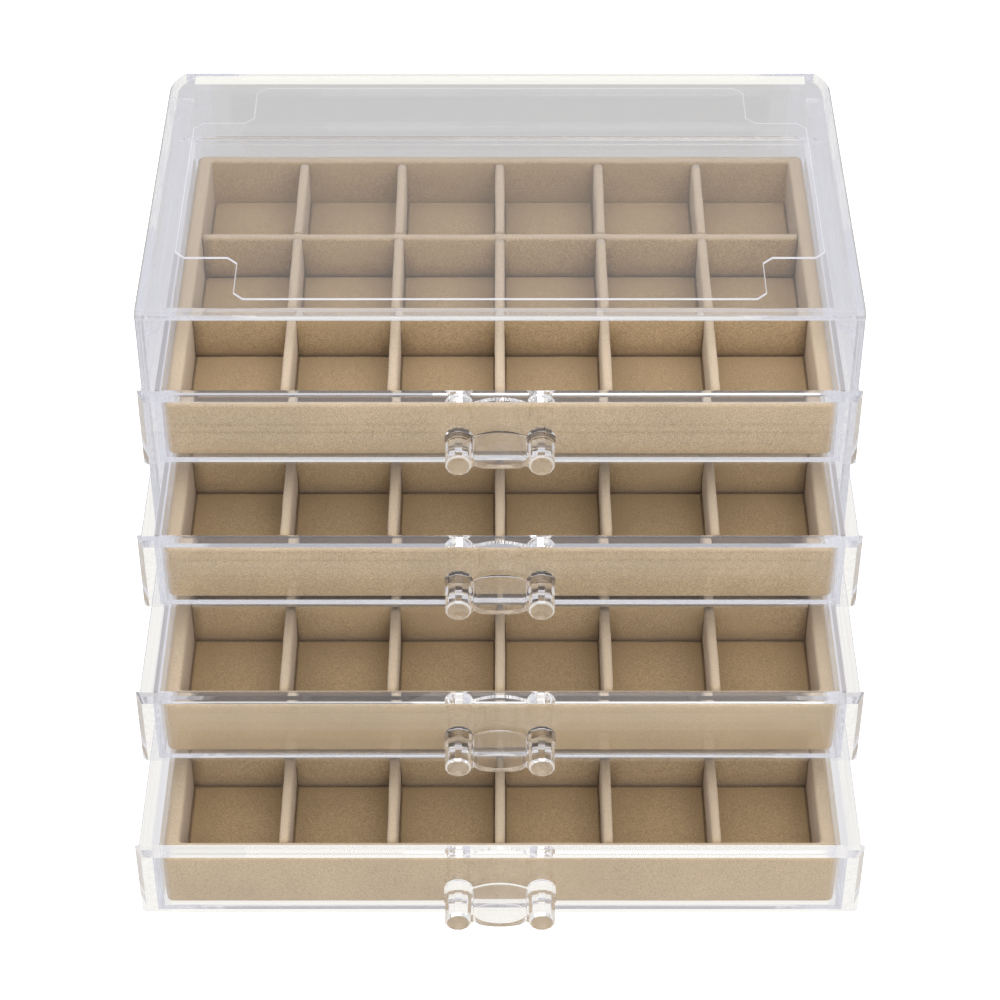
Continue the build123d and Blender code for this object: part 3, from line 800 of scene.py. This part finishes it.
# Table: white, with the object's shadow. To the camera it glows a little. In or through the plastic it
# is seen as light alone: cream in front, grey behind the case as painted shade and lavender below the
# case's side walls as painted light
def make_floor():
    mesh_data = bmesh.new()
    bmesh.ops.create_grid(mesh_data, x_segments=1, y_segments=1, size=TABLE_SIZE)
    mesh = bpy.data.meshes.new("table")
    mesh_data.to_mesh(mesh)
    mesh_data.free()
    floor = bpy.data.objects.new("table", mesh)
    bpy.context.scene.collection.objects.link(floor)
    shading = Shading("white_table")
    diffuse = shading.add("ShaderNodeBsdfDiffuse")
    diffuse.inputs["Color"].default_value = (*TABLE_COLOUR, 1)
    light_path = shading.add("ShaderNodeLightPath")
    x, y, _ = shading.coordinates()
    # Painted shade: the glow seen through the plastic turns grey behind the case
    depth = shading.add("ShaderNodeMapRange")
    depth.inputs["From Min"].default_value = GLOW_NEAR_Y
    depth.inputs["From Max"].default_value = GLOW_FAR_Y
    shading.join(y, depth.inputs["Value"])
    under_glow = shading.add("ShaderNodeEmission")
    # Painted light: a lavender strip below the case's side walls
    off_wall = shading.maths("SUBTRACT", shading.maths("ABSOLUTE", x), WALL_X)
    beside = shading.maths("LESS_THAN", shading.maths("ABSOLUTE", off_wall), WALL_HALF)
    beside = shading.maths("MULTIPLY", beside, shading.maths("GREATER_THAN", y, WALL_FRONT_Y))
    near_colour = shading.mix(beside, UNDER_GLOW_NEAR, UNDER_GLOW_WALL)
    under_colour = shading.mix(depth.outputs["Result"], near_colour, UNDER_GLOW_FAR)
    shading.join(under_colour, under_glow.inputs["Color"])
    glow = shading.add("ShaderNodeEmission")
    strength = shading.maths("MULTIPLY", light_path.outputs["Is Camera Ray"], TABLE_GLOW)
    shading.join(strength, glow.inputs["Strength"])
    direct = shading.add("ShaderNodeAddShader")
    shading.join(diffuse.outputs[0], direct.inputs[0])
    shading.join(glow.outputs[0], direct.inputs[1])
    through = shading.maths(
        "MAXIMUM", light_path.outputs["Is Transmission Ray"], light_path.outputs["Is Glossy Ray"])
    surface = shading.blend(through, direct.outputs[0], under_glow.outputs[0])
    shading.join(surface, shading.output.inputs["Surface"])
    mesh.materials.append(shading.material)


def make_lamp(name, location, target, size, power, colour):
    data = bpy.data.lights.new(name, "AREA")
    data.shape = "RECTANGLE"
    data.size, data.size_y = size
    data.energy = power
    data.color = colour
    lamp = bpy.data.objects.new(name, data)
    bpy.context.scene.collection.objects.link(lamp)
    lamp.location = location
    lamp.rotation_euler = (Vector(target) - Vector(location)).to_track_quat("-Z", "Y").to_euler()


# Studio: pale lavender at the horizon and greyer above. It is brighter once a ray has left velvet or
# table, and so lights them more than it is seen in the plastic
def make_world():
    world = bpy.data.worlds.new("studio")
    bpy.context.scene.world = world
    world.use_nodes = True
    nodes, links = world.node_tree.nodes, world.node_tree.links
    nodes.clear()
    output = nodes.new("ShaderNodeOutputWorld")
    background = nodes.new("ShaderNodeBackground")
    place = nodes.new("ShaderNodeTexCoord")
    parts = nodes.new("ShaderNodeSeparateXYZ")
    ramp = nodes.new("ShaderNodeValToRGB")
    links.new(place.outputs["Generated"], parts.inputs[0])
    links.new(parts.outputs["Z"], ramp.inputs["Fac"])
    first, last = ramp.color_ramp.elements
    first.position, first.color = 0.0, (*HORIZON_COLOUR, 1)
    last.position, last.color = SKY_FROM, (*SKY_COLOUR, 1)
    links.new(ramp.outputs["Color"], background.inputs["Color"])
    light_path = nodes.new("ShaderNodeLightPath")
    strength = nodes.new("ShaderNodeMapRange")
    links.new(light_path.outputs["Diffuse Depth"], strength.inputs["Value"])
    strength.inputs["To Min"].default_value = WORLD_SEEN
    strength.inputs["To Max"].default_value = WORLD_LIGHT
    links.new(strength.outputs["Result"], background.inputs["Strength"])
    links.new(background.outputs[0], output.inputs["Surface"])


def make_camera(front_y):
    data = bpy.data.cameras.new("camera")
    data.lens = LENS
    data.sensor_width = 36.0
    data.clip_start = 0.01
    camera = bpy.data.objects.new("camera", data)
    bpy.context.scene.collection.objects.link(camera)
    camera.location = (CAMERA_X, front_y - CAMERA_DISTANCE, CAMERA_HEIGHT)
    camera.rotation_euler = (math.radians(90 - CAMERA_PITCH), 0, 0)
    bpy.context.scene.camera = camera


scene = bpy.context.scene
scene.view_settings.view_transform = "Standard"
scene.cycles.max_bounces = BOUNCES
scene.cycles.transmission_bounces = BOUNCES
scene.cycles.glossy_bounces = BOUNCES
scene.cycles.transparent_max_bounces = BOUNCES
scene.cycles.caustics_reflective = False

VELVET = make_velvet("velvet_pile", VELVET_DARK, VELVET_LIGHT, VELVET_UPWARD_SHEEN)
FLOOR_VELVET = make_velvet("velvet_floor_pile", FLOOR_DARK, FLOOR_LIGHT, 0.0)
shell_low, shell_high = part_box("case_shell")
case_nodes = [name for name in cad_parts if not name.startswith("drawer_")]
dress(make_clear("clear_case_plastic", edged=(shell_low, shell_high)), case_nodes)
for number in range(1, DRAWERS + 1):
    dress_drawer(number)
    make_rim(number)
    make_pad(number)
    make_strips(number)

make_floor()
make_world()
for name, (location, size, power, colour) in LAMPS.items():
    make_lamp(name, location, LAMP_TARGET, size, power, colour)
make_camera(shell_low.y)
